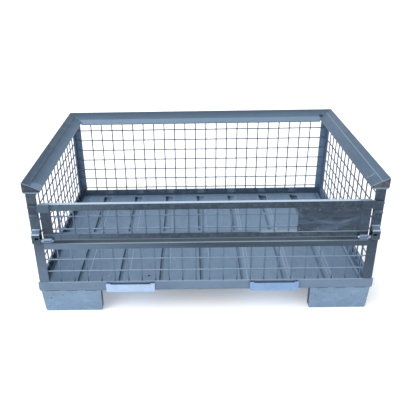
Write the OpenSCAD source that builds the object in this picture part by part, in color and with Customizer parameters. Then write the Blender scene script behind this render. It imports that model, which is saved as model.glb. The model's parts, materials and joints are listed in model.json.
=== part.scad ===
// Half-height wire mesh pallet cage of galvanised steel with a drop flap in the front wall.
// Origin: middle of the overall footprint, on the floor. +X right, +Y to the back, +Z up.
// The front wall, with the flap, is on the -Y side.

/* [Frame] */
// Width over the corner posts
frame_w = 1224; // [1100:2:1300]
// Depth over the corner posts
frame_d = 818; // [760:2:900]
// Height from the floor to the top edge of the stacking rim
total_h = 530; // [500:5:620]
// Leg width of the angle that the posts are made of
post_leg = 35; // [30:1:40]
// Wall thickness of the angles and folded profiles
steel_t = 4; // [3:0.5:5]

/* [Base] */
// Clear height under the base frame for the forks
fork_h = 90; // [80:1:100]
// Height of the base rails
rail_h = 39; // [35:1:45]
// Width of the inward flange of the base rails
flange_w = 35; // [30:1:40]
// Width of a foot at its top
foot_w = 221; // [180:1:240]
// Depth of a foot
foot_d = 28; // [24:1:60]
// How far the outer side of a foot leans in towards the floor
foot_lean = 7; // [0:1:12]
// Wall thickness of a foot
foot_t = 4; // [3:0.5:5]

/* [Floor sheet] */
// Diameter of the drain holes
drain_d = 10; // [8:1:14]
// Thickness of the sheet
sheet_t = 2; // [1.5:0.5:3]
// Depth of the pressed grooves
groove_h = 8; // [4:1:12]
// Width of a groove
groove_w = 38; // [30:1:50]
// Distance between two grooves
groove_pitch = 155; // [140:1:160]
// Number of grooves
groove_count = 7; // [3:2:7]

/* [Fork skids] */
// Width of a skid and of its guide lips
skid_w = 180; // [140:5:200]
// Middle of the left skid
skid_left_x = -277; // [-290:1:-200]
// Middle of the right skid
skid_right_x = 254; // [200:1:290]
// Height of a guide lip above the underside of the base rail
lip_h = 29; // [20:1:34]

/* [Wire mesh] */
// Wire diameter
wire_d = 5; // [4:0.5:6]
// Distance between two wires
mesh_pitch = 50; // [50:1:60]
// How deep two crossing wires are melted into each other
weld_sink = 0.6; // [0.4:0.1:1]

/* [Stacking rim] */
// How far the rim stands out over the posts
rim_out = 8; // [6:1:10]
// Height of the rim's upright outer leg
rim_leg_h = 36; // [30:1:40]
// Width of the side rims
rim_side_w = 61; // [56:1:66]
// Width of the rear rim
rim_rear_w = 66; // [60:1:70]

/* [Lower front panel] */
// Underside of the panel's top rail
panel_rail_z = 269; // [240:1:272]
// Height of the panel's top rail
panel_rail_h = 21.5; // [18:0.5:22]
// Width of the panel rail's inward flange
panel_rail_d = 30; // [12:1:35]

/* [Flap] */
// Underside of the flap
flap_z = 308; // [304:1:312]
// Height of the flap
flap_h = 140; // [120:1:160]
// Height of the flap's top and bottom rails
flap_rail_h = 24; // [20:1:28]
// Depth of the flap's rails
flap_d = 15; // [12:1:18]
// Wall thickness of the flap's rails
flap_t = 2; // [1.5:0.5:3]
// Width of the flap's upright side bars
stile_w = 35; // [30:1:40]
// Gap between the flap and each post
flap_gap = 5; // [3:0.5:6]
// Left end of the label plate
label_x = 322; // [250:1:400]

/* [Hinge] */
// Height of the hinge axis at rest
hinge_z = 312; // [310:1:316]
// Diameter of a hinge pin
pin_d = 12; // [10:1:14]
// Radial clearance of a pin in its bush
pin_play = 0.05; // [0.02:0.01:0.1]
// Outside diameter of a bush
bush_d = 18; // [18:1:20]
// Length of a bush
bush_len = 27; // [24:1:32]
// Gap between a pin at rest and its seat
seat_gap = 0.4; // [0.3:0.1:0.6]

/* [Hidden] */
$fn = 48;

// Front and rear faces of the post frame: the pockets in front and the rim behind reach
// equally far from the origin.
pocket_out = 22;
y_front = -(frame_d + rim_out - pocket_out) / 2;
y_rear = y_front + frame_d;
x_post = frame_w / 2;
x_gate = x_post - post_leg;
base_top = fork_h + rail_h;
floor_z = fork_h + steel_t + groove_h + sheet_t;
bearer_w = 60;
floor_gap = [17, 12];
groove_end = 24;
skid_t = 3;
rail_corner = 9;
rail_out = 6;
// Drain holes, in the flat strips between the grooves near the left front corner.
drains = [[-373, -325], [-214, -330], [-122, -208]];

// Rim: the drop of its top surface at each fold, measured from the outer edge.
x_rim = x_post + rim_out;
y_rim = y_rear + rim_out;
side_fold = [25, 9.5];
side_drop = 28.5;
rear_fold = [46, 22];
rear_drop = 37;
rim_sheet = 4.5;
cap_t = 3;

// Mesh layers: the level wires lie on the frame, the upright ones lie inside them.
wire_in = steel_t + wire_d / 2;
layer_step = wire_d - weld_sink;
top_wire_z = total_h - 36;
wire_rows = 8;
wall_rows = [for (i = [0 : wire_rows - 1]) top_wire_z - i * mesh_pitch];
wire_short = 14;
wall_top = top_wire_z + wire_short;
wall_low = base_top - wire_short;
front_wire_x = -533.5;
front_wire_z = 173.5;
flap_wire_x = -508;
flap_wire_z = 347.5;

// Flap.
flap_front = y_front - 2;
flap_half_w = x_gate - flap_gap;
stile_in = flap_half_w - stile_w;
flap_top = flap_z + flap_h;
flap_open_z = flap_z + flap_rail_h;
flap_open_top = flap_top - flap_rail_h;
label_t = 2;
flap_mesh_y = flap_front + label_t + 1 + wire_d / 2;

// Hinge.
hinge_y = flap_front - bush_d / 2;
bush_x = flap_half_w - 5;
pin_out = x_post - 11;
pin_in = bush_x - bush_len - 1;
pocket_in = x_gate + 3;
pocket_x = x_post - 4;
pocket_wall = 4;
pocket_top_z = 353;
pocket_fold_z = 340;
pocket_low_z = 301;
pocket_r = 9;

steel = [0.56, 0.63, 0.69];
bright_steel = [0.66, 0.75, 0.86];
dark_steel = [0.36, 0.41, 0.46];

module mirrored_x(side) {
    // Draws its children for the right side, or mirrored for the left side.
    if (side > 0) children();
    else mirror([1, 0, 0]) children();
}

// Arc points from angle a0 to a1 about a centre.
function arc(c, r, a0, a1, steps) =
    [for (i = [0 : steps]) let (a = a0 + (a1 - a0) * i / steps) c + r * [cos(a), sin(a)]];

// ---- Base ----

module base_rail_long(rear) {
    // Front or rear rail: an upright outer leg with round lower corners and a flange inwards
    // at its foot. The leg stands out a little past the posts, and the flange ends between the
    // legs of the side rails.
    y = rear ? y_rear : y_front;
    y_leg = rear ? y - steel_t : y;
    y_flange = rear ? y - flange_w : y;
    x_end = x_post + rail_out;
    x_flange = x_post - steel_t;
    color(steel) union() {
        translate([0, y_leg + steel_t, fork_h]) rotate([90, 0, 0]) linear_extrude(steel_t)
            polygon(concat([[-x_end, rail_h]],
                arc([rail_corner - x_end, rail_corner], rail_corner, 180, 270, 6),
                arc([x_end - rail_corner, rail_corner], rail_corner, 270, 360, 6),
                [[x_end, rail_h]]));
        translate([-x_flange, y_flange, fork_h]) cube([2 * x_flange, flange_w, steel_t]);
    }
}

module base_rail_side(side) {
    leg_d = frame_d - 2 * steel_t;
    flange_d = frame_d - 2 * flange_w;
    color(steel) mirrored_x(side) union() {
        translate([x_post - steel_t, y_front + steel_t, fork_h]) cube([steel_t, leg_d, rail_h]);
        translate([x_post - flange_w, y_front + flange_w, fork_h])
            cube([flange_w, flange_d, steel_t]);
    }
}

module floor_sheet() {
    // Sheet on turned-down edges, with pressed grooves that end short of its front and rear
    // edges. It leaves a channel between itself and the legs of the base rails.
    half_w = x_post - steel_t - floor_gap[0];
    y0 = y_front + steel_t + floor_gap[1];
    y1 = y_rear - steel_t - floor_gap[1];
    depth = groove_h + sheet_t;
    first = -(groove_count - 1) / 2 * groove_pitch;
    slope = groove_h / 2;
    // Sloping trough under each groove, and the hollow pressed into it from above.
    module trough(x) {
        w = groove_w + 2 * sheet_t;
        translate([x, y1 - groove_end + sheet_t, floor_z]) rotate([90, 0, 0])
            linear_extrude(y1 - y0 - 2 * groove_end + 2 * sheet_t)
                polygon([[-w / 2, -sheet_t / 2], [slope - w / 2, -depth], [w / 2 - slope, -depth],
                    [w / 2, -sheet_t / 2]]);
    }
    module hollow(x) {
        w = groove_w;
        translate([x, y1 - groove_end, floor_z]) rotate([90, 0, 0])
            linear_extrude(y1 - y0 - 2 * groove_end)
                polygon([[-w / 2, 1], [-w / 2, 0], [slope - w / 2, -groove_h],
                    [w / 2 - slope, -groove_h], [w / 2, 0], [w / 2, 1]]);
    }
    color(steel) difference() {
        union() {
            translate([-half_w, y0, floor_z - sheet_t]) cube([2 * half_w, y1 - y0, sheet_t]);
            for (x = [-half_w, half_w - sheet_t])
                translate([x, y0, floor_z - depth]) cube([sheet_t, y1 - y0, depth]);
            for (i = [0 : groove_count - 1]) trough(first + i * groove_pitch);
        }
        for (i = [0 : groove_count - 1]) hollow(first + i * groove_pitch);
        for (d = drains)
            translate([d[0], d[1], floor_z - 2 * sheet_t]) cylinder(d = drain_d, h = 4 * sheet_t);
    }
}

module floor_bearers() {
    // Flat bars under the grooves, in the plane of the rail flanges.
    color(steel) for (i = [-2 : 2])
        translate([i * groove_pitch - bearer_w / 2, y_front + flange_w, fork_h])
            cube([bearer_w, frame_d - 2 * flange_w, steel_t]);
}

module fork_skid(x) {
    color(steel) translate([x - skid_w / 2, y_front, fork_h - skid_t])
        cube([skid_w, frame_d, skid_t]);
}

module fork_guide(x, rear) {
    // Folded lip in front of a base rail: it stands off from the rail, and its two ends rise
    // a little higher.
    guide_out = 8;
    end_w = 16;
    end_rise = 4;
    module lip(w, h) {
        rotate([90, 0, 90]) linear_extrude(w)
            polygon([[0, -skid_t], [-guide_out, -skid_t], [-guide_out, h],
                [-guide_out + skid_t, h], [-guide_out + skid_t, 0], [0, 0]]);
    }
    module whole() {
        union() {
            translate([x - skid_w / 2, y_front, fork_h]) lip(skid_w, lip_h);
            for (x_end = [x - skid_w / 2, x + skid_w / 2 - end_w])
                translate([x_end, y_front, fork_h]) lip(end_w, lip_h + end_rise);
        }
    }
    color(bright_steel)
        if (rear) translate([0, y_front + y_rear, 0]) mirror([0, 1, 0]) whole();
        else whole();
}

// Outline of a right-hand foot in X and Z, drawn in by the given inset.
function foot_outline(inset, r) =
    let (x_out = x_post - 1 - inset, x_in = x_post - 1 - foot_w + inset)
    concat([[x_in, fork_h - inset]], arc([x_in + r, inset + r], r, 180, 270, 6),
        arc([x_out - foot_lean - r, inset + r], r, 270, 355, 6), [[x_out, fork_h - inset]]);

module foot(side, rear) {
    // Folded box with round lower corners and a vent hole in its back wall.
    corner_r = 7;
    vent_d = 12;
    y0 = rear ? y_rear - foot_d : y_front;
    y_back = rear ? y0 : y0 + foot_d;
    x_mid = x_post - foot_w / 2;
    color(steel) mirrored_x(side) difference() {
        translate([0, y0 + foot_d, 0]) rotate([90, 0, 0]) linear_extrude(foot_d)
            polygon(foot_outline(0, corner_r));
        translate([0, y0 + foot_d - foot_t, 0]) rotate([90, 0, 0])
            linear_extrude(foot_d - 2 * foot_t)
            polygon(foot_outline(foot_t, corner_r - foot_t));
        translate([x_mid, y_back + foot_t * 2, fork_h / 2]) rotate([90, 0, 0])
            cylinder(d = vent_d, h = foot_t * 4);
    }
}

// ---- Posts and rim ----

// Drop of the rim's underside below the rim's top edge, at u inwards from the outer edge.
function rim_under(u, width, fold, drop) = rim_sheet + (u < fold[0] ? u * fold[1] / fold[0]
    : fold[1] + (u - fold[0]) * (drop - fold[1]) / (width - fold[0]));

module post(side, rear) {
    // The post ends where it meets the sloping underside of the rim.
    top = total_h - (rear ? rim_under(rim_out + steel_t, rim_rear_w, rear_fold, rear_drop)
        : rim_under(rim_out + post_leg, rim_side_w, side_fold, side_drop));
    y_leg = rear ? y_rear - steel_t : y_front;
    y_side = rear ? y_rear - post_leg : y_front;
    color(steel) mirrored_x(side) union() {
        translate([x_gate, y_leg, base_top]) cube([post_leg, steel_t, top - base_top]);
        translate([x_post - steel_t, y_side, base_top])
            cube([steel_t, post_leg, top - base_top]);
    }
}

// Folded rim section: u is measured inwards from the outer edge, heights from the top edge.
function rim_section(width, fold, drop) =
    let (leg_drop = fold[1] * steel_t / fold[0] + rim_sheet)
    [[0, -rim_leg_h], [0, 0], [fold[0], -fold[1]], [width, -drop], [width, -drop - rim_sheet],
        [fold[0], -fold[1] - rim_sheet], [steel_t, -leg_drop], [steel_t, -rim_leg_h]];

module rim_side(side) {
    // The rear end is mitred where it meets the rear rim.
    mitre = rim_rear_w + 4;
    section = rim_section(rim_side_w, side_fold, side_drop);
    color(steel) mirrored_x(side) intersection() {
        translate([x_rim, y_rim, total_h]) rotate([90, 0, 0]) mirror([1, 0, 0])
            linear_extrude(y_rim - y_front) polygon(section);
        translate([0, 0, total_h - 60]) linear_extrude(80)
            polygon([[x_rim + 1, y_front - 1], [x_rim + 1, y_rim + 1],
                [x_rim - mitre, y_rim - mitre], [x_rim - mitre, y_front - 1]]);
    }
}

module rim_rear() {
    // Mitred as far as the side rims reach, then square up to their inner edges.
    x_in = x_rim - rim_side_w;
    y_in = y_rim - rim_side_w;
    deep = rim_rear_w + 4;
    section = rim_section(rim_rear_w, rear_fold, rear_drop);
    color(steel) intersection() {
        translate([-x_rim, y_rim, total_h]) rotate([90, 0, 90]) mirror([1, 0, 0])
            linear_extrude(2 * x_rim) polygon(section);
        translate([0, 0, total_h - 60]) linear_extrude(80)
            polygon([[-x_rim - 1, y_rim + 1], [x_rim + 1, y_rim + 1],
                [x_in, y_in], [x_in, y_rim - deep], [-x_in, y_rim - deep], [-x_in, y_in]]);
    }
}

module rim_cap(side) {
    // Plate that closes the front end of a side rim and laps over the top of the post.
    low = 39;
    cut = 5;
    color(dark_steel) mirrored_x(side) translate([x_rim, y_front, total_h]) rotate([90, 0, 0])
        mirror([1, 0, 0]) linear_extrude(cap_t)
            polygon([[0, cut - low], [0, 0], [side_fold[0], -side_fold[1]],
                [rim_side_w, -side_drop], [rim_side_w, -side_drop - cut],
                [rim_side_w - cut, -low], [cut, -low]]);
}

// ---- Wire mesh ----

module wire_along_x(x0, x1, y, z) {
    translate([x0, y, z]) rotate([0, 90, 0]) cylinder(d = wire_d, h = x1 - x0);
}

module wire_along_z(x, y, z0, z1) {
    translate([x, y, z0]) cylinder(d = wire_d, h = z1 - z0);
}

module wire_grid(x_list, z_list, x_ends, z_ends, y_level, y_upright) {
    union() {
        for (z = z_list) wire_along_x(x_ends[0], x_ends[1], y_level, z);
        for (x = x_list) wire_along_z(x, y_upright, z_ends[0], z_ends[1]);
    }
}

module mesh_rear() {
    half = floor((x_gate - 20) / mesh_pitch - 0.5);
    columns = [for (i = [-half - 1 : half]) (i + 0.5) * mesh_pitch];
    y_level = y_rear - wire_in;
    color(dark_steel) wire_grid(columns, wall_rows, [-x_post + wire_short, x_post - wire_short],
        [wall_low, wall_top], y_level, y_level - layer_step);
}

module mesh_side(side) {
    half = floor((frame_d / 2 - post_leg - 15) / mesh_pitch);
    columns = [for (i = [-half : half]) i * mesh_pitch];
    reach = frame_d / 2 - wire_short - 3;
    x_level = x_post - wire_in;
    color(dark_steel) mirrored_x(side) translate([0, (y_front + y_rear) / 2, 0])
        rotate([0, 0, 90]) wire_grid(columns, wall_rows, [-reach, reach], [wall_low, wall_top],
            -x_level, -x_level + layer_step);
}

module mesh_front() {
    count = floor((x_gate - front_wire_x) / mesh_pitch);
    columns = [for (i = [0 : count]) front_wire_x + i * mesh_pitch];
    y_level = y_front + wire_in;
    color(dark_steel) wire_grid(columns, [front_wire_z, front_wire_z + mesh_pitch],
        [-x_post + wire_short, x_post - wire_short],
        [wall_low, panel_rail_z + panel_rail_h - steel_t],
        y_level, y_level + layer_step);
}

module panel_rail() {
    // Angle between the front posts, with its flange inwards at the top.
    color(steel) union() {
        translate([-x_gate, y_front, panel_rail_z]) cube([2 * x_gate, steel_t, panel_rail_h]);
        translate([-x_gate, y_front, panel_rail_z + panel_rail_h - steel_t])
            cube([2 * x_gate, panel_rail_d, steel_t]);
    }
}

// ---- Fittings on the front posts ----

module keeper(side) {
    // Channel on the post, open to the front, beside the flap's corner tab.
    wall = 3;
    low_z = 405;
    keeper_h = 39;
    keeper_d = 13;
    x0 = x_gate + 2;
    keeper_w = x_post - 3 - x0;
    lip = 4;
    color(dark_steel) mirrored_x(side) translate([x0, y_front, low_z]) rotate([90, 0, 90])
        linear_extrude(keeper_w)
            polygon([[0, 0], [0, keeper_h], [-keeper_d, keeper_h], [-keeper_d, keeper_h - wall],
                [-wall, keeper_h - wall], [-wall, wall + lip], [-keeper_d, wall],
                [-keeper_d, 0]]);
}

module hinge_pocket(side) {
    // Folded strap with a closed outer side and a round lower front edge. The pin stands on
    // the seat and can rise in it.
    y_out = -pocket_out;
    seat_z = hinge_z - pin_d / 2 - seat_gap;
    window = [14, 9];
    seat_cut = 3;
    slope_t = pocket_wall * 1.25;
    pocket_w = pocket_x - pocket_in;
    outline = concat([[0, pocket_low_z], [0, pocket_top_z], [y_out, pocket_fold_z]],
        arc([y_out + pocket_r, pocket_low_z + pocket_r], pocket_r, 180, 270, 6));
    hollow = [[1, seat_z], [1, pocket_top_z - slope_t], [0, pocket_top_z - slope_t],
        [y_out + pocket_wall, pocket_fold_z - slope_t + 2],
        [y_out + pocket_wall, seat_z + seat_cut],
        [y_out + pocket_wall + seat_cut, seat_z]];
    color(bright_steel) mirrored_x(side) difference() {
        translate([pocket_in, y_front, 0]) rotate([90, 0, 90]) linear_extrude(pocket_w)
            polygon(outline);
        translate([pocket_in - 1, y_front, 0]) rotate([90, 0, 90])
            linear_extrude(pocket_w + 1 - pocket_wall) polygon(hollow);
        translate([pocket_in + 3.5, y_front + y_out - 1, hinge_z + 8])
            cube([window[0], pocket_wall + 2, window[1]]);
    }
}

// ---- Flap ----

module flap_rail(z) {
    color(steel) difference() {
        translate([-flap_half_w, flap_front, z]) cube([2 * flap_half_w, flap_d, flap_rail_h]);
        translate([-flap_half_w - 1, flap_front + flap_t, z + flap_t])
            cube([2 * flap_half_w + 2, flap_d - 2 * flap_t, flap_rail_h - 2 * flap_t]);
    }
}

module flap_stile(side) {
    stile_d = 12;
    color(dark_steel) mirrored_x(side) translate([stile_in, flap_front, flap_open_z])
        cube([stile_w, stile_d, flap_open_top - flap_open_z]);
}

module flap_mesh() {
    count = floor((stile_in - flap_wire_x) / mesh_pitch);
    columns = [for (i = [0 : count]) flap_wire_x + i * mesh_pitch];
    color(dark_steel) wire_grid(columns, [flap_wire_z, flap_wire_z + mesh_pitch],
        [-stile_in, stile_in], [flap_open_z, flap_open_top],
        flap_mesh_y + layer_step, flap_mesh_y);
}

module label_plate() {
    // Blank plate for a shipping label, with a small wing at its upper left corner.
    wing = 9;
    wing_h = 18;
    y_back = flap_mesh_y - wire_d / 2;
    color(dark_steel) translate([0, y_back, 0]) rotate([90, 0, 0]) linear_extrude(label_t)
        polygon([[stile_in, flap_open_z], [label_x, flap_open_z], [label_x, flap_open_top - wing_h],
            [label_x - wing, flap_open_top - 2], [label_x - wing, flap_open_top],
            [stile_in, flap_open_top]]);
}

module flap_tab(side) {
    // Plate over the end of the flap's top rail. It ends just short of the keeper.
    tab_x = x_gate + 0.5;
    tab_w = 42;
    tab_t = 8;
    tab_h = 30;
    color(dark_steel) mirrored_x(side)
        translate([tab_x - tab_w, flap_front - tab_t, flap_top - tab_h + 3])
            cube([tab_w, tab_t, tab_h]);
}

module hinge_bush(side) {
    // Bored bush on a block that joins it to the flap's bottom rail.
    x0 = bush_x - bush_len;
    block_h = 8;
    bore_d = pin_d + 2 * pin_play;
    color(bright_steel) mirrored_x(side) difference() {
        union() {
            translate([x0, hinge_y, hinge_z]) rotate([0, 90, 0]) cylinder(d = bush_d, h = bush_len);
            translate([x0, hinge_y, hinge_z - block_h / 2]) cube([bush_len, bush_d / 2, block_h]);
        }
        translate([x0 - 1, hinge_y, hinge_z]) rotate([0, 90, 0])
            cylinder(d = bore_d, h = bush_len + 2);
    }
}

module hinge_pin(side) {
    // Pin through the bush into the pocket, with a pointed inner end.
    tip = 5;
    color(bright_steel) mirrored_x(side) union() {
        translate([pin_in, hinge_y, hinge_z]) rotate([0, 90, 0])
            cylinder(d = pin_d, h = pin_out - pin_in);
        translate([pin_in - tip, hinge_y, hinge_z]) rotate([0, 90, 0])
            cylinder(d1 = pin_d / 3, d2 = pin_d, h = tip);
    }
}

base_rail_long(false);  // base_rail_front
base_rail_long(true);  // base_rail_rear
base_rail_side(-1);  // base_rail_left
base_rail_side(1);  // base_rail_right
floor_sheet();
floor_bearers();
fork_skid(skid_left_x);  // fork_skid_left
fork_skid(skid_right_x);  // fork_skid_right
fork_guide(skid_left_x, false);  // fork_guide_front_left
fork_guide(skid_right_x, false);  // fork_guide_front_right
fork_guide(skid_left_x, true);  // fork_guide_rear_left
fork_guide(skid_right_x, true);  // fork_guide_rear_right
foot(-1, false);  // foot_front_left
foot(1, false);  // foot_front_right
foot(-1, true);  // foot_rear_left
foot(1, true);  // foot_rear_right
post(-1, false);  // post_front_left
post(1, false);  // post_front_right
post(-1, true);  // post_rear_left
post(1, true);  // post_rear_right
rim_side(-1);  // rim_left
rim_side(1);  // rim_right
rim_rear();
rim_cap(-1);  // rim_cap_left
rim_cap(1);  // rim_cap_right
mesh_side(-1);  // mesh_left
mesh_side(1);  // mesh_right
mesh_rear();
mesh_front();
panel_rail();
keeper(-1);  // keeper_left
keeper(1);  // keeper_right
hinge_pocket(-1);  // hinge_pocket_left
hinge_pocket(1);  // hinge_pocket_right
flap_rail(flap_open_top);  // flap_top_rail
flap_rail(flap_z);  // flap_bottom_rail
flap_stile(-1);  // flap_stile_left
flap_stile(1);  // flap_stile_right
flap_mesh();
label_plate();
flap_tab(-1);  // flap_tab_left
flap_tab(1);  // flap_tab_right
hinge_bush(-1);  // hinge_bush_left
hinge_bush(1);  // hinge_bush_right
hinge_pin(-1);  // hinge_pin_left
hinge_pin(1);  // hinge_pin_right
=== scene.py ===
"""Half-height wire mesh pallet cage: the looks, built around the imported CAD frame."""
import json
import math
import random

import bmesh
import bpy
from mathutils import Euler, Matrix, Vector


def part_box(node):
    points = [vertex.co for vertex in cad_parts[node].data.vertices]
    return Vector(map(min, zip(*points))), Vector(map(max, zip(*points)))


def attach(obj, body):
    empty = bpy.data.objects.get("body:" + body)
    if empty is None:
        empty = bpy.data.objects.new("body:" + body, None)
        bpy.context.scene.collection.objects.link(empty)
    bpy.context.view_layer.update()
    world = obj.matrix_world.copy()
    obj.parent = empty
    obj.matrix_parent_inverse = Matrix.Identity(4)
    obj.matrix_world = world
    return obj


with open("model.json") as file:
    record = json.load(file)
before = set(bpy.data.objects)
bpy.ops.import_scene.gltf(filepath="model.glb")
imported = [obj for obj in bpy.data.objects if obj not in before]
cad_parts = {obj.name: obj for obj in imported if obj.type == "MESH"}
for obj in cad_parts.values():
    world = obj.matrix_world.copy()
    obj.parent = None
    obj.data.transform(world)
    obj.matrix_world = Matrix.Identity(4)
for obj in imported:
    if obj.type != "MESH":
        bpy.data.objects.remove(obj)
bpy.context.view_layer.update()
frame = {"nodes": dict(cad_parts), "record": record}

random.seed(7)
nodes = frame["nodes"]

# ---------------------------------------------------------------- camera, lights, stage

SENSOR_WIDTH, LENS, SHIFT_X = 36.0, 45.37, 0.048
CAMERA_PLACE = (-0.0455, -2.0122, 1.2342)
CAMERA_TURN = (63.406, 0.871, 0.058)  # degrees
VIEW_RANGE = 200.0

cam_data = bpy.data.cameras.new("camera")
cam = bpy.data.objects.new("camera", cam_data)
bpy.context.collection.objects.link(cam)
cam_data.sensor_width = SENSOR_WIDTH
cam_data.lens = LENS
cam_data.shift_x = SHIFT_X
cam_data.clip_end = VIEW_RANGE
cam.location = CAMERA_PLACE
cam.rotation_euler = Euler([math.radians(a) for a in CAMERA_TURN], "XYZ")
bpy.context.scene.camera = cam
bpy.context.scene.view_settings.view_transform = "Standard"

# The sky is dimmest at the horizon and brightest at this height of the view direction.
SKY_FULL_AT, SKY_LOW, SKY_HIGH = 0.75, 0.5, 1.15
SKY_TINT = (0.97, 0.985, 1.0, 1.0)

world = bpy.data.worlds.new("studio")
bpy.context.scene.world = world
world.use_nodes = True
wn = world.node_tree.nodes
sky_coord = wn.new("ShaderNodeTexCoord")
sky_split = wn.new("ShaderNodeSeparateXYZ")
sky_ramp = wn.new("ShaderNodeMapRange")
sky_ramp.inputs["From Min"].default_value = 0.0
sky_ramp.inputs["From Max"].default_value = SKY_FULL_AT
sky_ramp.inputs["To Min"].default_value = SKY_LOW
sky_ramp.inputs["To Max"].default_value = SKY_HIGH
world.node_tree.links.new(sky_coord.outputs["Generated"], sky_split.inputs[0])
world.node_tree.links.new(sky_split.outputs[2], sky_ramp.inputs["Value"])
world.node_tree.links.new(sky_ramp.outputs["Result"], wn["Background"].inputs["Strength"])
wn["Background"].inputs["Color"].default_value = SKY_TINT


def aim(obj, place, target):
    obj.location = place
    obj.rotation_euler = (Vector(target) - Vector(place)).to_track_quat("-Z", "Y").to_euler()
    bpy.context.collection.objects.link(obj)


def area_light(name, place, target, size, power):
    data = bpy.data.lights.new(name, "AREA")
    data.shape = "RECTANGLE"
    data.size, data.size_y = size
    data.energy = power
    aim(bpy.data.objects.new(name, data), place, target)


def sun_light(name, place, strength, spread):
    data = bpy.data.lights.new(name, "SUN")
    data.energy = strength
    data.angle = math.radians(spread)
    aim(bpy.data.objects.new(name, data), place, (0, 0, 0))


sun_light("soft_key", place=(-2.2, -1.2, 2.6), strength=1.25, spread=55.0)
area_light("left_softbox", place=(-2.1, -1.6, 1.5), target=(-0.2, -0.3, 0.3),
           size=(1.1, 1.1), power=9.0)

FLOOR_REACH, FLOOR_Z = 40.0, -0.0005

mesh = bpy.data.meshes.new("floor")
bm = bmesh.new()
for x, y in ((-1, -1), (1, -1), (1, 1), (-1, 1)):
    bm.verts.new((x * FLOOR_REACH, y * FLOOR_REACH, FLOOR_Z))
bm.faces.new(bm.verts)
bm.to_mesh(mesh)
bm.free()
floor = bpy.data.objects.new("studio_floor", mesh)
bpy.context.collection.objects.link(floor)

# ---------------------------------------------------------------- materials


class Tree:
    """Small helper that adds shader nodes and links them."""

    def __init__(self, name):
        self.mat = bpy.data.materials.new(name)
        self.mat.use_nodes = True
        self.nt = self.mat.node_tree
        self.bsdf = self.nt.nodes["Principled BSDF"]
        self.coord = self.add("ShaderNodeTexCoord")

    def add(self, kind, **props):
        n = self.nt.nodes.new(kind)
        for k, v in props.items():
            setattr(n, k, v)
        return n

    def link(self, a, b):
        self.nt.links.new(a, b)

    def mapped(self, scale=(1, 1, 1), offset=(0, 0, 0)):
        m = self.add("ShaderNodeMapping")
        m.inputs["Scale"].default_value = scale
        m.inputs["Location"].default_value = offset
        self.link(self.coord.outputs["Object"], m.inputs["Vector"])
        return m.outputs["Vector"]

    def noise(self, scale, detail=4.0, rough=0.55, distort=0.0, vector=None):
        n = self.add("ShaderNodeTexNoise")
        n.inputs["Scale"].default_value = scale
        n.inputs["Detail"].default_value = detail
        n.inputs["Roughness"].default_value = rough
        n.inputs["Distortion"].default_value = distort
        self.link(self.coord.outputs["Object"] if vector is None else vector, n.inputs["Vector"])
        return n.outputs["Fac"]

    def cells(self, scale):
        n = self.add("ShaderNodeTexVoronoi")
        n.inputs["Scale"].default_value = scale
        self.link(self.coord.outputs["Object"], n.inputs["Vector"])
        return n.outputs["Color"]

    def ramp(self, fac, low, high, lo_val=0.0, hi_val=1.0):
        n = self.add("ShaderNodeMapRange")
        n.inputs["From Min"].default_value = low
        n.inputs["From Max"].default_value = high
        n.inputs["To Min"].default_value = lo_val
        n.inputs["To Max"].default_value = hi_val
        self.link(fac, n.inputs["Value"])
        return n.outputs["Result"]

    def math(self, op, a, b):
        n = self.add("ShaderNodeMath", operation=op)
        for i, v in enumerate((a, b)):
            if isinstance(v, (int, float)):
                n.inputs[i].default_value = v
            else:
                self.link(v, n.inputs[i])
        return n.outputs[0]

    def mix(self, fac, a, b):
        n = self.add("ShaderNodeMix", data_type="RGBA", blend_type="MIX")
        if isinstance(fac, (int, float)):
            n.inputs["Factor"].default_value = fac
        else:
            self.link(fac, n.inputs["Factor"])
        for key, v in (("A", a), ("B", b)):
            sock = [s for s in n.inputs if s.name == key and s.type == "RGBA"][0]
            if isinstance(v, tuple):
                sock.default_value = (*v[:3], 1.0)
            else:
                self.link(v, sock)
        return [s for s in n.outputs if s.type == "RGBA"][0]

    def normal(self):
        n = self.add("ShaderNodeSeparateXYZ")
        self.link(self.coord.outputs["Normal"], n.inputs[0])
        return n.outputs

    def place(self):
        n = self.add("ShaderNodeSeparateXYZ")
        self.link(self.coord.outputs["Object"], n.inputs[0])
        return n.outputs

    def edges(self, radius, low=0.02, high=0.25):
        """1 on sharp edges, 0 on flat faces."""
        b = self.add("ShaderNodeBevel", samples=4)
        b.inputs["Radius"].default_value = radius
        g = self.add("ShaderNodeNewGeometry")
        d = self.add("ShaderNodeVectorMath", operation="DOT_PRODUCT")
        self.link(b.outputs["Normal"], d.inputs[0])
        self.link(g.outputs["Normal"], d.inputs[1])
        return self.ramp(d.outputs["Value"], 1.0 - low, 1.0 - high)


def tone(c, k):
    return tuple(min(1.0, v * k) for v in c)


# Masks: each returns a function that builds its nodes in a material and gives a 0..1 value.
# Positions are metres in the frame at rest, so a mask moves with the piece it is on.
X, Y, Z = range(3)


def facing(axis, sign, amount=1.0, low=0.55, high=0.9):
    """Faces that look along an axis."""
    def make(t):
        return t.ramp(t.math("MULTIPLY", t.normal()[axis], float(sign)), low, high, 0.0, amount)
    return make


def along(axis, start, end, amount=1.0):
    """Rises from start to end along an axis, and stays up beyond the end."""
    return lambda t: t.ramp(t.place()[axis], start, end, 0.0, amount)


def near(axis, value, half, amount=1.0, mirrored=True):
    """A line across an axis, on both sides of the middle if mirrored."""
    def make(t):
        p = t.place()[axis]
        if mirrored:
            p = t.math("ABSOLUTE", p, 0.0)
        gap = t.math("ABSOLUTE", t.math("SUBTRACT", p, value), 0.0)
        return t.ramp(gap, half, half * 0.5, 0.0, amount)
    return make


def inward(amount=1.0):
    """Faces that look towards the middle of the cage."""
    def make(t):
        n, p = t.normal(), t.place()
        out = t.math("ADD", t.math("MULTIPLY", n[0], p[0]), t.math("MULTIPLY", n[1], p[1]))
        return t.ramp(out, -0.1, -0.25, 0.0, amount)
    return make


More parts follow.
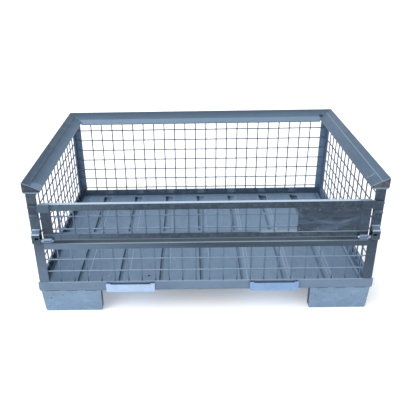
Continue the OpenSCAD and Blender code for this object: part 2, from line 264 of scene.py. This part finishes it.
def wear_and_edge_glint(radius=0.0025, amount=0.5):
    """Sharp edges made bright, unevenly: partly rubbed zinc, partly a painted edge highlight."""
    return lambda t: t.math("MULTIPLY", t.edges(radius),
                            t.ramp(t.noise(55.0, 3.0), 0.35, 0.6, amount * 0.35, amount))


def patch(center, radius, amount=1.0):
    """A ragged round patch."""
    def make(t):
        d = t.add("ShaderNodeVectorMath", operation="DISTANCE")
        t.link(t.coord.outputs["Object"], d.inputs[0])
        d.inputs[1].default_value = center
        rough = t.math("ADD", d.outputs["Value"],
                       t.math("MULTIPLY", t.math("SUBTRACT", t.noise(120.0, 4.0), 0.5), radius))
        return t.ramp(rough, radius, radius * 0.6, 0.0, amount)
    return make


def spots(scale, low, high, amount, stretch=(1, 1, 1), shift=(3.1, 1.7, 0.4)):
    """Blotches, or streaks where stretched."""
    return lambda t: t.ramp(t.noise(scale, 6.0, 0.62, 0.8, t.mapped(stretch, shift)), low, high,
                            0.0, amount)


OTHER_SPOTS = (0.3, 0.2, 5.0)  # a second set of blotches that doesn't follow the first


def both(a, b):
    """Where two masks overlap."""
    return lambda t: t.math("MULTIPLY", a(t), b(t))


def zinc(name, base, layers=(), metallic=0.45, rough=0.42, cloud=0.14, spangle=0.05, grain=0.08,
         streak=(1, 1, 1), bump=0.35, gloss=0.5):
    """Hot-dip galvanised steel: clouds, spangle cells and grain, then the given layers."""
    t = Tree(name)
    clouds = t.noise(6.0, 6.0, 0.62, 0.5, t.mapped(streak))
    color = t.mix(t.ramp(clouds, 0.3, 0.7), tone(base, 1 - cloud), tone(base, 1 + cloud))
    cells = t.add("ShaderNodeSeparateColor")
    t.link(t.cells(95.0), cells.inputs[0])
    color = t.mix(t.math("MULTIPLY", cells.outputs[0], spangle * 2.5), color, tone(base, 1.5))
    fine = t.noise(300.0, 3.0, 0.65)
    color = t.mix(t.ramp(fine, 0.48, 0.75, 0.0, grain * 4), color, tone(base, 0.55))
    color = t.mix(t.ramp(fine, 0.46, 0.25, 0.0, grain * 4), color, tone(base, 1.45))
    for mask, other in layers:
        color = t.mix(mask(t), color, other)
    t.link(color, t.bsdf.inputs["Base Color"])
    t.bsdf.inputs["Metallic"].default_value = metallic
    t.bsdf.inputs["Specular IOR Level"].default_value = gloss
    t.link(t.ramp(t.noise(16.0, 4.0, 0.6, 0.3), 0.3, 0.7, rough - 0.09, rough + 0.1),
           t.bsdf.inputs["Roughness"])
    bumps = t.add("ShaderNodeBump")
    bumps.inputs["Strength"].default_value = bump
    bumps.inputs["Distance"].default_value = 0.0014
    height = t.math("ADD", t.math("MULTIPLY", t.noise(22.0, 4.0, 0.6, 0.5), 0.8),
                    t.math("MULTIPLY", t.noise(260.0, 2.0, 0.5), 0.12))
    t.link(height, bumps.inputs["Height"])
    t.link(bumps.outputs["Normal"], t.bsdf.inputs["Normal"])
    return t.mat


# Base colours, linear. The tones of one zinc differ partly by weathering and partly as painted
# reflection: DARK and RAIL stand for zinc that mirrors dark surroundings, FRAME and FOOT for zinc
# that mirrors the pale floor.
FRAME = (0.131, 0.194, 0.280)
FOOT = (0.174, 0.261, 0.375)
FLOOR = (0.165, 0.252, 0.366)
BRIGHT = (0.365, 0.495, 0.69)
DARK = (0.037, 0.056, 0.085)
RAIL = (0.036, 0.054, 0.077)
RIM = (0.083, 0.133, 0.20)
WIRE = (0.105, 0.135, 0.215)

# Colours for worn edges with their painted edge highlights, for painted light on upward faces, and
# for painted shade.
LIGHT = (0.36, 0.47, 0.60)
MID = (0.16, 0.225, 0.31)
DEEP = (0.014, 0.026, 0.043)

# The floor's seven grooves: spacing, width, and a margin so that strips can start left of one.
PITCH, GROOVE, MARGIN = 0.155, 0.038, 0.02


def groove(start, end, soft, amount=1.0, reach=0.38):
    """A strip along each floor groove, measured from the groove's left edge."""
    def make(t):
        first = -3 * PITCH - GROOVE / 2 - MARGIN
        across = t.math("SUBTRACT", t.place()[0], first)
        u = t.math("SUBTRACT", t.math("FLOORED_MODULO", across, PITCH), MARGIN)
        rise = t.ramp(u, start - soft, start)
        fall = t.ramp(u, end + soft, end)
        limits = t.math("LESS_THAN", t.math("ABSOLUTE", t.place()[1], 0.0), reach)
        strip = t.math("MULTIPLY", rise, fall)
        return t.math("MULTIPLY", strip, t.math("MULTIPLY", limits, amount))
    return make


# Finishes that several materials share.
DULL = {"metallic": 0.5, "rough": 0.38, "grain": 0.16}
ROLLED = {"metallic": 0.5, "rough": 0.34, "cloud": 0.2, "streak": (0.2, 1, 1), "gloss": 0.3}
LIP = {"metallic": 0.5, "rough": 0.36, "cloud": 0.08}


def wire(name, base, top):
    """Drawn wire, with painted light where it looks up."""
    return zinc(name, base, [(facing(Z, 1, 0.95, 0.1, 0.6), top)], metallic=0.45, cloud=0.2,
                spangle=0.0, bump=0.12)


# Base rails: darker at the bottom, with painted light on the top face and a painted highlight along
# the top edge.
rail_layers = [
    (spots(10.0, 0.5, 0.7, 0.3), tone(FRAME, 0.65)),
    (spots(40.0, 0.52, 0.7, 0.25, stretch=(0.15, 1, 1)), tone(FRAME, 1.5)),
    # bottom edge
    (along(Z, 0.094, 0.0915, 0.5), tone(FRAME, 0.55)),
    # painted light on the top face, and a painted highlight line along the front's top edge
    (both(facing(Z, 1, 0.85), along(Z, 0.12, 0.125)), (0.25, 0.33, 0.43)),
    (both(facing(Y, -1), near(Z, 0.1285, 0.003, 0.6, False)), (0.27, 0.36, 0.47)),
    (wear_and_edge_glint(0.0025, 0.4), LIGHT)]

mats = {
    "frame_zinc": zinc("frame_zinc", FRAME, rail_layers + [
        # painted shade on the faces that look into the cage
        (inward(0.9), DEEP)], streak=(0.5, 1, 1)),
    "rail_right_zinc": zinc("rail_right_zinc", FRAME, rail_layers + [
        # painted light on the faces that look into the cage, which face the key light
        (inward(0.85), (0.33, 0.48, 0.66))], streak=(1, 0.5, 1)),
    "rail_rear_zinc": zinc("rail_rear_zinc", FRAME, rail_layers + [
        # painted shade on the inner faces, with lighter blotches in it and lighter patches just
        # above the floor where the grooves meet it
        (inward(0.9), (0.085, 0.135, 0.195)),
        (both(inward(0.6), spots(26.0, 0.5, 0.36, 1.0, stretch=(0.4, 1, 1))), (0.14, 0.205, 0.28)),
        (both(groove(0.004, 0.034, 0.008, 0.6, 0.5), both(inward(), along(Z, 0.104, 0.110))),
         (0.24, 0.33, 0.44))],
        streak=(0.5, 1, 1)),
    "foot_zinc": zinc("foot_zinc", FOOT, [
        (spots(14.0, 0.5, 0.7, 0.35), tone(FOOT, 0.75)),
        (spots(9.0, 0.48, 0.3, 0.35, shift=OTHER_SPOTS), tone(FOOT, 1.3)),
        (spots(42.0, 0.53, 0.66, 0.5, stretch=(0.45, 1, 1.1)), tone(FOOT, 1.38)),
        (spots(55.0, 0.47, 0.36, 0.4, stretch=(0.5, 1, 1.3), shift=(6.0, 2.0, 1.0)),
         tone(FOOT, 0.72)),
        # painted shade on the faces that look into the cage
        (inward(0.75), tone(FOOT, 0.06)),
        (wear_and_edge_glint(0.002, 0.25), LIGHT)], cloud=0.1),
    "floor_zinc": zinc("floor_zinc", FLOOR, [
        (spots(60.0, 0.52, 0.72, 0.4, stretch=(1, 0.12, 1)), tone(FLOOR, 0.66)),
        (spots(70.0, 0.54, 0.7, 0.3, stretch=(1, 0.06, 1), shift=(2, 0, 3)), tone(FLOOR, 1.4)),
        (spots(9.0, 0.52, 0.7, 0.35), tone(FLOOR, 0.75)),
        # grooves: painted shade on the left wall, then painted highlights on the right edges
        (groove(0.002, 0.011, 0.004, 0.5), tone(FLOOR, 0.38)),
        (groove(0.0345, 0.0385, 0.0018, 0.9), (0.33, 0.44, 0.56)),
        (both(groove(0.026, 0.029, 0.0018, 0.8), along(X, 0.0, 0.15)), (0.29, 0.39, 0.51)),
        # painted shade on the walls of grooves that look right
        (facing(X, 1, 0.85), (0.045, 0.07, 0.105)),
        # a painted shadow line and a painted highlight line along the right edge, standing in for
        # the sheet's edge
        (near(X, 0.577, 0.005, 0.6, False), tone(FLOOR, 0.5)),
        (near(X, 0.5835, 0.003, 0.8, False), (0.31, 0.42, 0.54)),
        # shaded rear ends of grooves
        (both(along(Z, 0.1015, 0.0985), both(along(Y, 0.28, 0.37, 0.7), along(X, 0.2, 0.3))), DEEP),
        (both(groove(-0.002, 0.006, 0.003, 0.8), along(Y, 0.34, 0.36)), DEEP)],
        cloud=0.1, rough=0.5, streak=(1, 0.4, 1)),
    "bright_zinc": zinc("bright_zinc", BRIGHT, [
        (spots(30.0, 0.52, 0.72, 0.35), tone(BRIGHT, 0.7)),
        (spots(22.0, 0.5, 0.34, 0.3, shift=OTHER_SPOTS), tone(BRIGHT, 1.3)),
        (wear_and_edge_glint(0.002, 0.35), (0.55, 0.68, 0.85))], **LIP),
    "guide_right_zinc": zinc("guide_right_zinc", (0.20, 0.318, 0.52), [
        (spots(30.0, 0.52, 0.72, 0.35), (0.165, 0.26, 0.43)),
        (spots(22.0, 0.5, 0.34, 0.3, shift=OTHER_SPOTS), (0.29, 0.43, 0.64)),
        (wear_and_edge_glint(0.002, 0.35), (0.36, 0.48, 0.7))], **LIP),
    # a lighter copy of dark_zinc: painted light, as the light falls from the left
    "post_left_zinc": zinc("post_left_zinc", tone(DARK, 1.35), [
        (spots(22.0, 0.5, 0.68, 0.5), tone(DARK, 0.6)),
        (spots(16.0, 0.48, 0.32, 0.5, shift=OTHER_SPOTS), tone(DARK, 2.4)),
        (spots(70.0, 0.5, 0.66, 0.4, stretch=(1, 1, 0.2)), (0.115, 0.12, 0.13)),
        # paler towards the foot
        (along(Z, 0.31, 0.18, 0.7), (0.118, 0.172, 0.248)),
        # painted light on upward faces
        (facing(Z, 1, 0.9), MID),
        (wear_and_edge_glint(0.0022, 0.5), MID)], **DULL, cloud=0.2, gloss=0.35),
    "dark_zinc": zinc("dark_zinc", DARK, [
        (spots(22.0, 0.5, 0.68, 0.5), tone(DARK, 0.5)),
        (spots(16.0, 0.48, 0.32, 0.5, shift=OTHER_SPOTS), tone(DARK, 1.9)),
        (spots(70.0, 0.52, 0.68, 0.4, stretch=(1, 1, 0.15)), tone(DARK, 0.45)),
        # paler towards the foot
        (along(Z, 0.30, 0.16, 0.5), (0.062, 0.094, 0.142)),
        # painted light on upward faces
        (facing(Z, 1, 0.9), MID),
        (wear_and_edge_glint(0.0022, 0.5), MID)], **DULL, cloud=0.2, gloss=0.3),
    "cap_zinc": zinc("cap_zinc", tone(DARK, 0.95), [
        (spots(34.0, 0.48, 0.66, 0.5), tone(DARK, 0.45)),
        (spots(60.0, 0.5, 0.36, 0.5, shift=OTHER_SPOTS), (0.105, 0.115, 0.14)),
        (both(along(X, 0.0, 0.1, 0.75), spots(70.0, 0.42, 0.6, 1.0, shift=(1.3, 2.2, 0.0))),
         (0.115, 0.12, 0.13)),
        # painted highlight along the lower edge
        (near(Z, 0.4935, 0.0035, 0.75, False), (0.20, 0.275, 0.35)),
        # dark outer corner on the right
        (both(facing(Y, -1), both(along(X, 0.617, 0.6195), along(Z, 0.505, 0.509))),
         tone(DARK, 0.4)),
        # painted light on upward faces
        (facing(Z, 1, 0.9, 0.3, 0.7), (0.30, 0.375, 0.45)),
        (wear_and_edge_glint(0.0024, 0.75), (0.30, 0.375, 0.45))], **DULL, cloud=0.25, gloss=0.35),
    "tab_zinc": zinc("tab_zinc", DARK, [
        (spots(30.0, 0.5, 0.7, 0.4), tone(DARK, 0.5)),
        (spots(24.0, 0.48, 0.3, 0.5, shift=OTHER_SPOTS), tone(DARK, 1.8)),
        # painted light: the left tab is paler, like the left end of the flap
        (both(along(X, 0.0, -0.1), facing(Y, -1, 0.95)), (0.066, 0.102, 0.142)),
        # painted light on upward faces
        (facing(Z, 1, 0.95, 0.3, 0.7), (0.33, 0.43, 0.56)),
        (wear_and_edge_glint(0.0022, 0.5), MID)], metallic=0.5, rough=0.38, cloud=0.2, grain=0.14, gloss=0.3),
    "keeper_zinc": zinc("keeper_zinc", DARK, [
        # painted light on upward faces
        (facing(Z, 1, 0.95, 0.3, 0.7), (0.16, 0.215, 0.29)),
        (wear_and_edge_glint(0.0015, 0.45), MID)], metallic=0.5, rough=0.36, cloud=0.2, grain=0.12, gloss=0.35),
    "pocket_zinc": zinc("pocket_zinc", DARK, [
        (spots(40.0, 0.45, 0.65, 0.5), tone(DARK, 1.5)),
        # painted light on the sloped top
        (facing(Z, 1, 0.9, 0.3, 0.7), (0.12, 0.18, 0.265)),
        # painted highlights on the ridge and on the lip at the foot of the slope
        (both(facing(Z, 1, 0.9, 0.3, 0.7), along(Z, 0.3495, 0.3515)), (0.42, 0.54, 0.70)),
        (near(Z, 0.3405, 0.0022, 0.9, False), (0.40, 0.52, 0.68)),
        (wear_and_edge_glint(0.0018, 0.6), (0.22, 0.30, 0.40))], metallic=0.5, rough=0.34, cloud=0.2, grain=0.12,
        gloss=0.35),
    "bush_zinc": zinc("bush_zinc", (0.10, 0.145, 0.215), [
        # painted highlight on the upper side
        (facing(Z, 1, 0.85, 0.5, 0.95), (0.38, 0.50, 0.66))], metallic=0.6, rough=0.3, gloss=0.4),
    "pin_zinc": zinc("pin_zinc", (0.22, 0.30, 0.41), [
        # painted highlight on the upper side
        (facing(Z, 1, 0.8, 0.3, 0.9), (0.42, 0.54, 0.70)),
        # in the dark inside the pocket
        (near(X, 0.595, 0.017, 1.0), DEEP)], metallic=0.6, rough=0.3, gloss=0.4),
    "flap_zinc": zinc("flap_zinc", RAIL, [
        # painted light: paler to the left, darker to the right, as the light falls from the left
        (along(X, -0.1, -0.55, 0.75), (0.085, 0.132, 0.185)),
        (along(X, 0.1, 0.5, 0.6), tone(RAIL, 0.62)),
        (spots(9.0, 0.5, 0.7, 0.4, stretch=(0.3, 1, 1)), tone(RAIL, 0.6)),
        (spots(50.0, 0.5, 0.68, 0.5, stretch=(0.08, 1, 1)), tone(RAIL, 1.9)),
        (spots(75.0, 0.5, 0.64, 0.5, shift=(0.6, 1.2, 2.0)), tone(RAIL, 0.55)),
        (spots(75.0, 0.5, 0.36, 0.35, shift=(0.6, 1.2, 2.0)), tone(RAIL, 2.0)),
        # painted light on upward faces, and a painted highlight on the top of the top rail
        (facing(Z, 1, 0.9), tone(FLOOR, 0.95)),
        (both(facing(Z, 1, 0.95), along(Z, 0.444, 0.446)), (0.50, 0.63, 0.78)),
        # painted highlights along the edges of the bottom rail
        (near(Z, 0.3095, 0.0022, 0.7, False), (0.12, 0.165, 0.23)),
        (both(near(Z, 0.3312, 0.002, 0.85, False), along(X, 0.18, 0.2)), (0.26, 0.33, 0.42)),
        (wear_and_edge_glint(0.002, 0.35), MID)], **ROLLED),
    "panel_zinc": zinc("panel_zinc", tone(RAIL, 1.08), [
        (spots(9.0, 0.5, 0.7, 0.4, stretch=(0.3, 1, 1)), tone(RAIL, 0.6)),
        (spots(50.0, 0.52, 0.7, 0.4, stretch=(0.08, 1, 1)), tone(RAIL, 1.8)),
        # painted light: paler to the left
        (along(X, 0.0, -0.5, 0.8), (0.125, 0.19, 0.27)),
        # painted light on the top face
        (facing(Z, 1, 0.9), (0.052, 0.088, 0.125)),
        # painted highlight on the front lip of the top face
        (both(facing(Z, 1), along(Y, -0.393, -0.397, 0.95)), (0.34, 0.44, 0.55)),
        (wear_and_edge_glint(0.002, 0.4), MID)], **ROLLED),
    # darker than the right rim throughout: painted shade, as the left rim's slopes turn away from
    # the light
    "rim_left_zinc": zinc("rim_left_zinc", (0.046, 0.092, 0.152), [
        (spots(18.0, 0.5, 0.7, 0.35, stretch=(1, 0.4, 1)), tone(RIM, 0.5)),
        (spots(40.0, 0.55, 0.7, 0.35, stretch=(1, 0.15, 1)), tone(RIM, 1.2)),
        # outer strip
        (along(X, -0.592, -0.596, 0.75), (0.033, 0.070, 0.120)),
        (both(along(X, -0.592, -0.594), spots(60.0, 0.5, 0.64, 0.6, stretch=(1, 0.08, 1))),
         (0.075, 0.125, 0.185)),
        # inner slope, and along the fold a painted highlight line and a painted shade line
        (along(X, -0.590, -0.566, 0.8), (0.112, 0.180, 0.275)),
        (near(X, 0.5975, 0.0016, 0.6), (0.10, 0.17, 0.25)),
        (near(X, 0.5935, 0.0024, 0.8), (0.022, 0.046, 0.082)),
        # pale front end
        (patch((-0.570, -0.385, 0.51), 0.03, 0.6), (0.2, 0.29, 0.42)),
        (wear_and_edge_glint(0.0025, 0.45), MID)], cloud=0.18, streak=(1, 0.3, 1), gloss=0.4),
    "rim_right_zinc": zinc("rim_right_zinc", RIM, [
        (spots(18.0, 0.5, 0.7, 0.35, stretch=(1, 0.4, 1)), tone(RIM, 0.7)),
        (spots(40.0, 0.55, 0.7, 0.35, stretch=(1, 0.15, 1)), tone(RIM, 1.45)),
        # painted highlight along the fold
        (near(X, 0.594, 0.0018, 0.75), (0.26, 0.345, 0.45)),
        # scuff
        (both(patch((0.577, -0.334, 0.512), 0.02, 0.9),
              spots(110.0, 0.54, 0.62, 1.0, stretch=(0.35, 1.2, 1))), (0.36, 0.45, 0.56)),
        (wear_and_edge_glint(0.0025, 0.4), MID)], cloud=0.16, streak=(1, 0.3, 1), gloss=0.4),
    "rim_rear_zinc": zinc("rim_rear_zinc", tone(RIM, 1.05), [
        (spots(13.0, 0.5, 0.7, 0.3, stretch=(0.4, 1, 1)), tone(RIM, 0.7)),
        # painted shade on the outer slope, painted light on the inner edge
        (along(Y, 0.385, 0.42, 0.7), tone(RIM, 0.45)),
        (along(Y, 0.381, 0.377, 0.7), (0.20, 0.28, 0.38)),
        # painted shade that stands for the small slots at the right corner
        (patch((0.567, 0.3835, 0.51), 0.014, 0.9), DEEP),
        (wear_and_edge_glint(0.0025, 0.45), MID)], cloud=0.16, streak=(0.3, 1, 1), gloss=0.4),
    "wire_zinc": wire("wire_zinc", WIRE, (0.22, 0.29, 0.38)),
    "flap_wire_zinc": wire("flap_wire_zinc", (0.082, 0.138, 0.222), (0.22, 0.30, 0.40)),
    "front_wire_zinc": wire("front_wire_zinc", (0.108, 0.176, 0.27), (0.27, 0.35, 0.45)),
    "plate_zinc": zinc("plate_zinc", DARK, [
        (spots(26.0, 0.47, 0.62, 0.7, stretch=(0.45, 1, 1.5)), tone(DARK, 0.5)),
        (spots(20.0, 0.5, 0.34, 0.75, stretch=(0.4, 1, 1.2), shift=OTHER_SPOTS),
         tone(DARK, 2.4)),
        (spots(70.0, 0.56, 0.7, 0.5, stretch=(0.1, 1, 1)), tone(DARK, 2.2)),
        # painted light on upward faces
        (facing(Z, 1, 0.9), MID),
        (wear_and_edge_glint(0.002, 0.35), MID)], metallic=0.45, rough=0.48, cloud=0.25, gloss=0.35),
    "rear_post_zinc": zinc("rear_post_zinc", (0.135, 0.215, 0.315), [
        (spots(22.0, 0.5, 0.7, 0.45, stretch=(1, 1, 0.5)), (0.075, 0.12, 0.18)),
        (spots(18.0, 0.48, 0.3, 0.4, shift=OTHER_SPOTS), (0.16, 0.235, 0.33)),
        # front of the right post
        (both(along(X, 0.0, 0.1), facing(Y, -1, 0.7)), (0.19, 0.29, 0.42)),
        (wear_and_edge_glint(0.002, 0.35), (0.2, 0.28, 0.38))], cloud=0.2),
    "weld_zinc": zinc("weld_zinc", (0.075, 0.105, 0.145), [
        # painted light on upward faces
        (facing(Z, 1, 0.6, 0.2, 0.8), MID)], metallic=0.5, rough=0.4, cloud=0.3, grain=0.15),
}

# A glow in the floor keeps its shadow soft and pale.
FLOOR_GLOW = 0.22

studio = Tree("studio_floor")
tint = studio.mix(studio.ramp(studio.noise(0.7, 2.0), 0.3, 0.7),
                  (0.93, 0.935, 0.94), (0.95, 0.95, 0.955))
studio.link(tint, studio.bsdf.inputs["Base Color"])
studio.bsdf.inputs["Roughness"].default_value = 0.9
studio.bsdf.inputs["Emission Color"].default_value = (1.0, 1.0, 1.0, 1.0)
studio.bsdf.inputs["Emission Strength"].default_value = FLOOR_GLOW
floor.data.materials.append(studio.mat)

# Nodes take the material of their slot, unless the start of their name is listed here.
slot_of = {part["node"]: part["material_slot"] for part in frame["record"]["subparts"]}
own = {
    "foot_": "foot_zinc",
    "base_rail_right": "rail_right_zinc",
    "base_rail_rear": "rail_rear_zinc",
    "fork_guide_front_right": "guide_right_zinc",
    "post_front_left": "post_left_zinc",
    "post_rear": "rear_post_zinc",
    "rim_left": "rim_left_zinc",
    "rim_right": "rim_right_zinc",
    "rim_rear": "rim_rear_zinc",
    "rim_cap": "cap_zinc",
    "keeper": "keeper_zinc",
    "hinge_pocket": "pocket_zinc",
    "hinge_bush": "bush_zinc",
    "hinge_pin": "pin_zinc",
    "panel_rail": "panel_zinc",
    "mesh_front": "front_wire_zinc",
    "flap_mesh": "flap_wire_zinc",
    "flap_tab": "tab_zinc",
}
for name, obj in nodes.items():
    key = slot_of[name]
    for start, other in own.items():
        if name.startswith(start):
            key = other
    for slot in obj.material_slots:
        slot.material = mats[key]

# Rolled and folded steel has no razor edges. Wires, pins and the floor stay as they are.
EDGE_WIDTH, EDGE_ANGLE = 0.0008, 40
for name, obj in nodes.items():
    if name.startswith(("mesh_", "flap_mesh", "floor_sheet", "hinge_pin")):
        continue
    bev = obj.modifiers.new("soft_edges", "BEVEL")
    bev.width = EDGE_WIDTH
    bev.segments = 2
    bev.limit_method = "ANGLE"
    bev.angle_limit = math.radians(EDGE_ANGLE)

# ---------------------------------------------------------------- welds and zinc runs

box = {name: [Vector(c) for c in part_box(name)] for name in nodes}


def new_piece(name, bm, body, material):
    bmesh.ops.recalc_face_normals(bm, faces=bm.faces)
    data = bpy.data.meshes.new(name)
    bm.to_mesh(data)
    bm.free()
    for f in data.polygons:
        f.use_smooth = True
    data.materials.append(mats[material])
    obj = bpy.data.objects.new(name, data)
    bpy.context.collection.objects.link(obj)
    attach(obj, body)
    return obj


def skin(bm, rings):
    """Join rings of vertices into a closed skin."""
    count = len(rings[0])
    for a, b in zip(rings, rings[1:]):
        for i in range(count):
            bm.faces.new((a[i], a[(i + 1) % count], b[(i + 1) % count], b[i]))
    bm.faces.new(rings[0][::-1])
    bm.faces.new(rings[-1])


BEAD_SIDES = 8


def bead(bm, points, r):
    """A weld bead: overlapping scallops along a line, thinner at both ends."""
    pts = [Vector(p) for p in points]
    path = []
    for a, b in zip(pts, pts[1:]):
        n = max(2, int((b - a).length / (0.5 * r)))
        path += [a.lerp(b, i / n) for i in range(n)]
    path.append(pts[-1])
    rings = []
    total = len(path) - 1
    for i, p in enumerate(path):
        d = (path[min(i + 1, total)] - path[max(i - 1, 0)]).normalized()
        side = d.cross(Vector((0.31, 0.57, 0.76))).normalized()
        up = d.cross(side)
        scallop = 0.78 + 0.22 * abs(math.sin(i * 0.85))
        end = min(1.0, 0.45 + 0.3 * min(i, total - i))
        k = r * scallop * end * random.uniform(0.92, 1.06)
        turns = [a * 2 * math.pi / BEAD_SIDES for a in range(BEAD_SIDES)]
        rings.append([bm.verts.new(p + k * (math.cos(a) * side + math.sin(a) * up))
                      for a in turns])
    skin(bm, rings)


def level_bead(bm, x_start, x_end, y, z, r):
    """A bead along X."""
    bead(bm, [(x_start, y, z), (x_end, y, z)], r)


def upright_bead(bm, x, y, z_start, z_end, r):
    """A bead along Z."""
    bead(bm, [(x, y, z_start), (x, y, z_end)], r)


def lump(bm, place, size):
    """An uneven drop of zinc."""
    verts = bmesh.ops.create_icosphere(bm, subdivisions=2, radius=1.0)["verts"]
    for v in verts:
        k = random.uniform(0.86, 1.1)
        v.co = Vector(place) + Vector((v.co.x * size[0], v.co.y * size[1], v.co.z * size[2])) * k


front_y = box["post_front_left"][0].y
rear_y = box["post_rear_left"][1].y
LEAF = 0.004  # thickness of a post's angle

# Welds of the posts, the panel rail, the rim caps, the pockets, the keepers and the feet.
bm = bmesh.new()
for side, s in (("left", -1), ("right", 1)):
    post = box["post_front_" + side]
    x_in = min(abs(post[0].x), abs(post[1].x))
    x_out = max(abs(post[0].x), abs(post[1].x))
    pocket, keep = box["hinge_pocket_" + side], box["keeper_" + side]
    rail, cap = box["panel_rail"], box["rim_cap_" + side]
    level_bead(bm, s * (x_in + 0.003), s * (x_out - 0.002), front_y, post[0].z, 0.0014)
    upright_bead(bm, s * x_in, front_y, rail[0].z + 0.002, rail[1].z - 0.002, 0.0013)
    level_bead(bm, s * (x_in + 0.003), s * (x_out - 0.003), front_y, cap[0].z, 0.0013)
    for z in (pocket[0].z, pocket[1].z):
        level_bead(bm, pocket[0].x + 0.006, pocket[1].x - 0.006, front_y, z, 0.0014)
    for z in (keep[0].z, keep[1].z):
        level_bead(bm, keep[0].x + 0.003, keep[1].x - 0.003, front_y, z, 0.0011)
    for start, face in (("foot_front_", 0), ("foot_rear_", 1)):
        foot = box[start + side]
        for a, b in ((0.08, 0.3), (0.42, 0.6), (0.74, 0.93)):
            xa, xb = (foot[0].x + k * (foot[1].x - foot[0].x) for k in (a, b))
            level_bead(bm, xa, xb, foot[face].y, foot[1].z, 0.0012)
    z = box["post_rear_" + side][0].z
    level_bead(bm, s * (x_in + 0.003), s * (x_out - 0.002), rear_y, z, 0.0014)
    level_bead(bm, s * (x_in + 0.002), s * (x_out - 0.005), rear_y - LEAF, z, 0.0014)
new_piece("frame_welds", bm, "cage", "weld_zinc")

# Puddle welds in the upper corners of the fork guides.
bm = bmesh.new()
for name in ("fork_guide_front_left", "fork_guide_front_right"):
    lo, hi = box[name]
    for x in (lo.x + 0.007, hi.x - 0.007):
        for k in range(4):
            lump(bm, (x + random.uniform(-0.003, 0.003), lo.y + 0.0012, hi.z - 0.008 - 0.0035 * k),
                 (0.0035, 0.0012, 0.003))
new_piece("guide_welds", bm, "cage", "bright_zinc")

# Mitre welds of the rim's rear corners follow the side rims' section, given as distances in
# from the outer edge and down from the top. They start far enough in to stay below the top.
bm = bmesh.new()
rim = box["rim_left"]
x_edge, y_edge, z_edge = abs(rim[0].x), rim[1].y, rim[1].z
inner = abs(rim[1].x)
section = ((0.0055, 0.0019), (0.025, 0.0092), (x_edge - inner - 0.002, 0.0275))
PROUD = 0.0002
for s in (-1, 1):
    line = [(s * (x_edge - u), y_edge - u, z_edge - d + PROUD) for u, d in section]
    bead(bm, line, 0.0015)
new_piece("rim_welds", bm, "cage", "weld_zinc")

# Drops of zinc: two on the left rear post, some on each front foot, and a row under the front
# base rail between the feet.
bm = bmesh.new()
lump(bm, (-0.581, rear_y - LEAF, 0.150), (0.006, 0.0022, 0.008))
lump(bm, (-0.589, rear_y - LEAF, 0.198), (0.004, 0.0018, 0.007))
for s in (-1, 1):
    for k in range(5):
        x = s * random.uniform(0.40, 0.60)
        lump(bm, (x, front_y + 0.0006, random.uniform(0.02, 0.085)), (0.0022, 0.0009, 0.005))
rail_bottom = box["base_rail_front"][0].z
for k in range(9):
    x = random.uniform(-0.36, 0.36)
    lump(bm, (x, front_y + 0.002, rail_bottom + 0.0004), (0.003, 0.0016, 0.0012))
new_piece("zinc_runs", bm, "cage", "weld_zinc")

# Welds of the flap's tabs, bushes and stiles.
bm = bmesh.new()
flap_y = box["flap_bottom_rail"][0].y
for side, s in (("left", -1), ("right", 1)):
    tab, bush, stile = (box[n + side] for n in ("flap_tab_", "hinge_bush_", "flap_stile_"))
    tab_in = min(abs(tab[0].x), abs(tab[1].x))
    upright_bead(bm, s * tab_in, flap_y, tab[0].z + 0.002, tab[1].z - 0.004, 0.0016)
    level_bead(bm, bush[0].x + 0.002, bush[1].x - 0.002, flap_y, bush[1].z, 0.0014)
    for z in (stile[0].z, stile[1].z):
        level_bead(bm, stile[0].x + 0.002, stile[1].x - 0.002, flap_y, z, 0.0011)
new_piece("flap_welds", bm, "flap", "weld_zinc")

# Spot welds that hold the label plate: shallow dished buttons, given as radius and height.
BUTTON = ((0.0045, 0.0), (0.0038, 0.0005), (0.0024, 0.0006), (0.0012, 0.0002))
BUTTON_SIDES = 16
bm = bmesh.new()
plate = box["label_plate"]
for fx in (0.07, 0.36, 0.65, 0.94):
    for fz in (0.1, 0.9):
        c = Vector((plate[0].x + fx * (plate[1].x - plate[0].x), plate[0].y,
                    plate[0].z + fz * (plate[1].z - plate[0].z)))
        rings = []
        for r, out in BUTTON:
            turns = [a * 2 * math.pi / BUTTON_SIDES for a in range(BUTTON_SIDES)]
            rings.append([bm.verts.new(c + Vector((r * math.cos(a), -out, r * math.sin(a))))
                          for a in turns])
        skin(bm, rings)
new_piece("plate_spot_welds", bm, "flap", "plate_zinc")
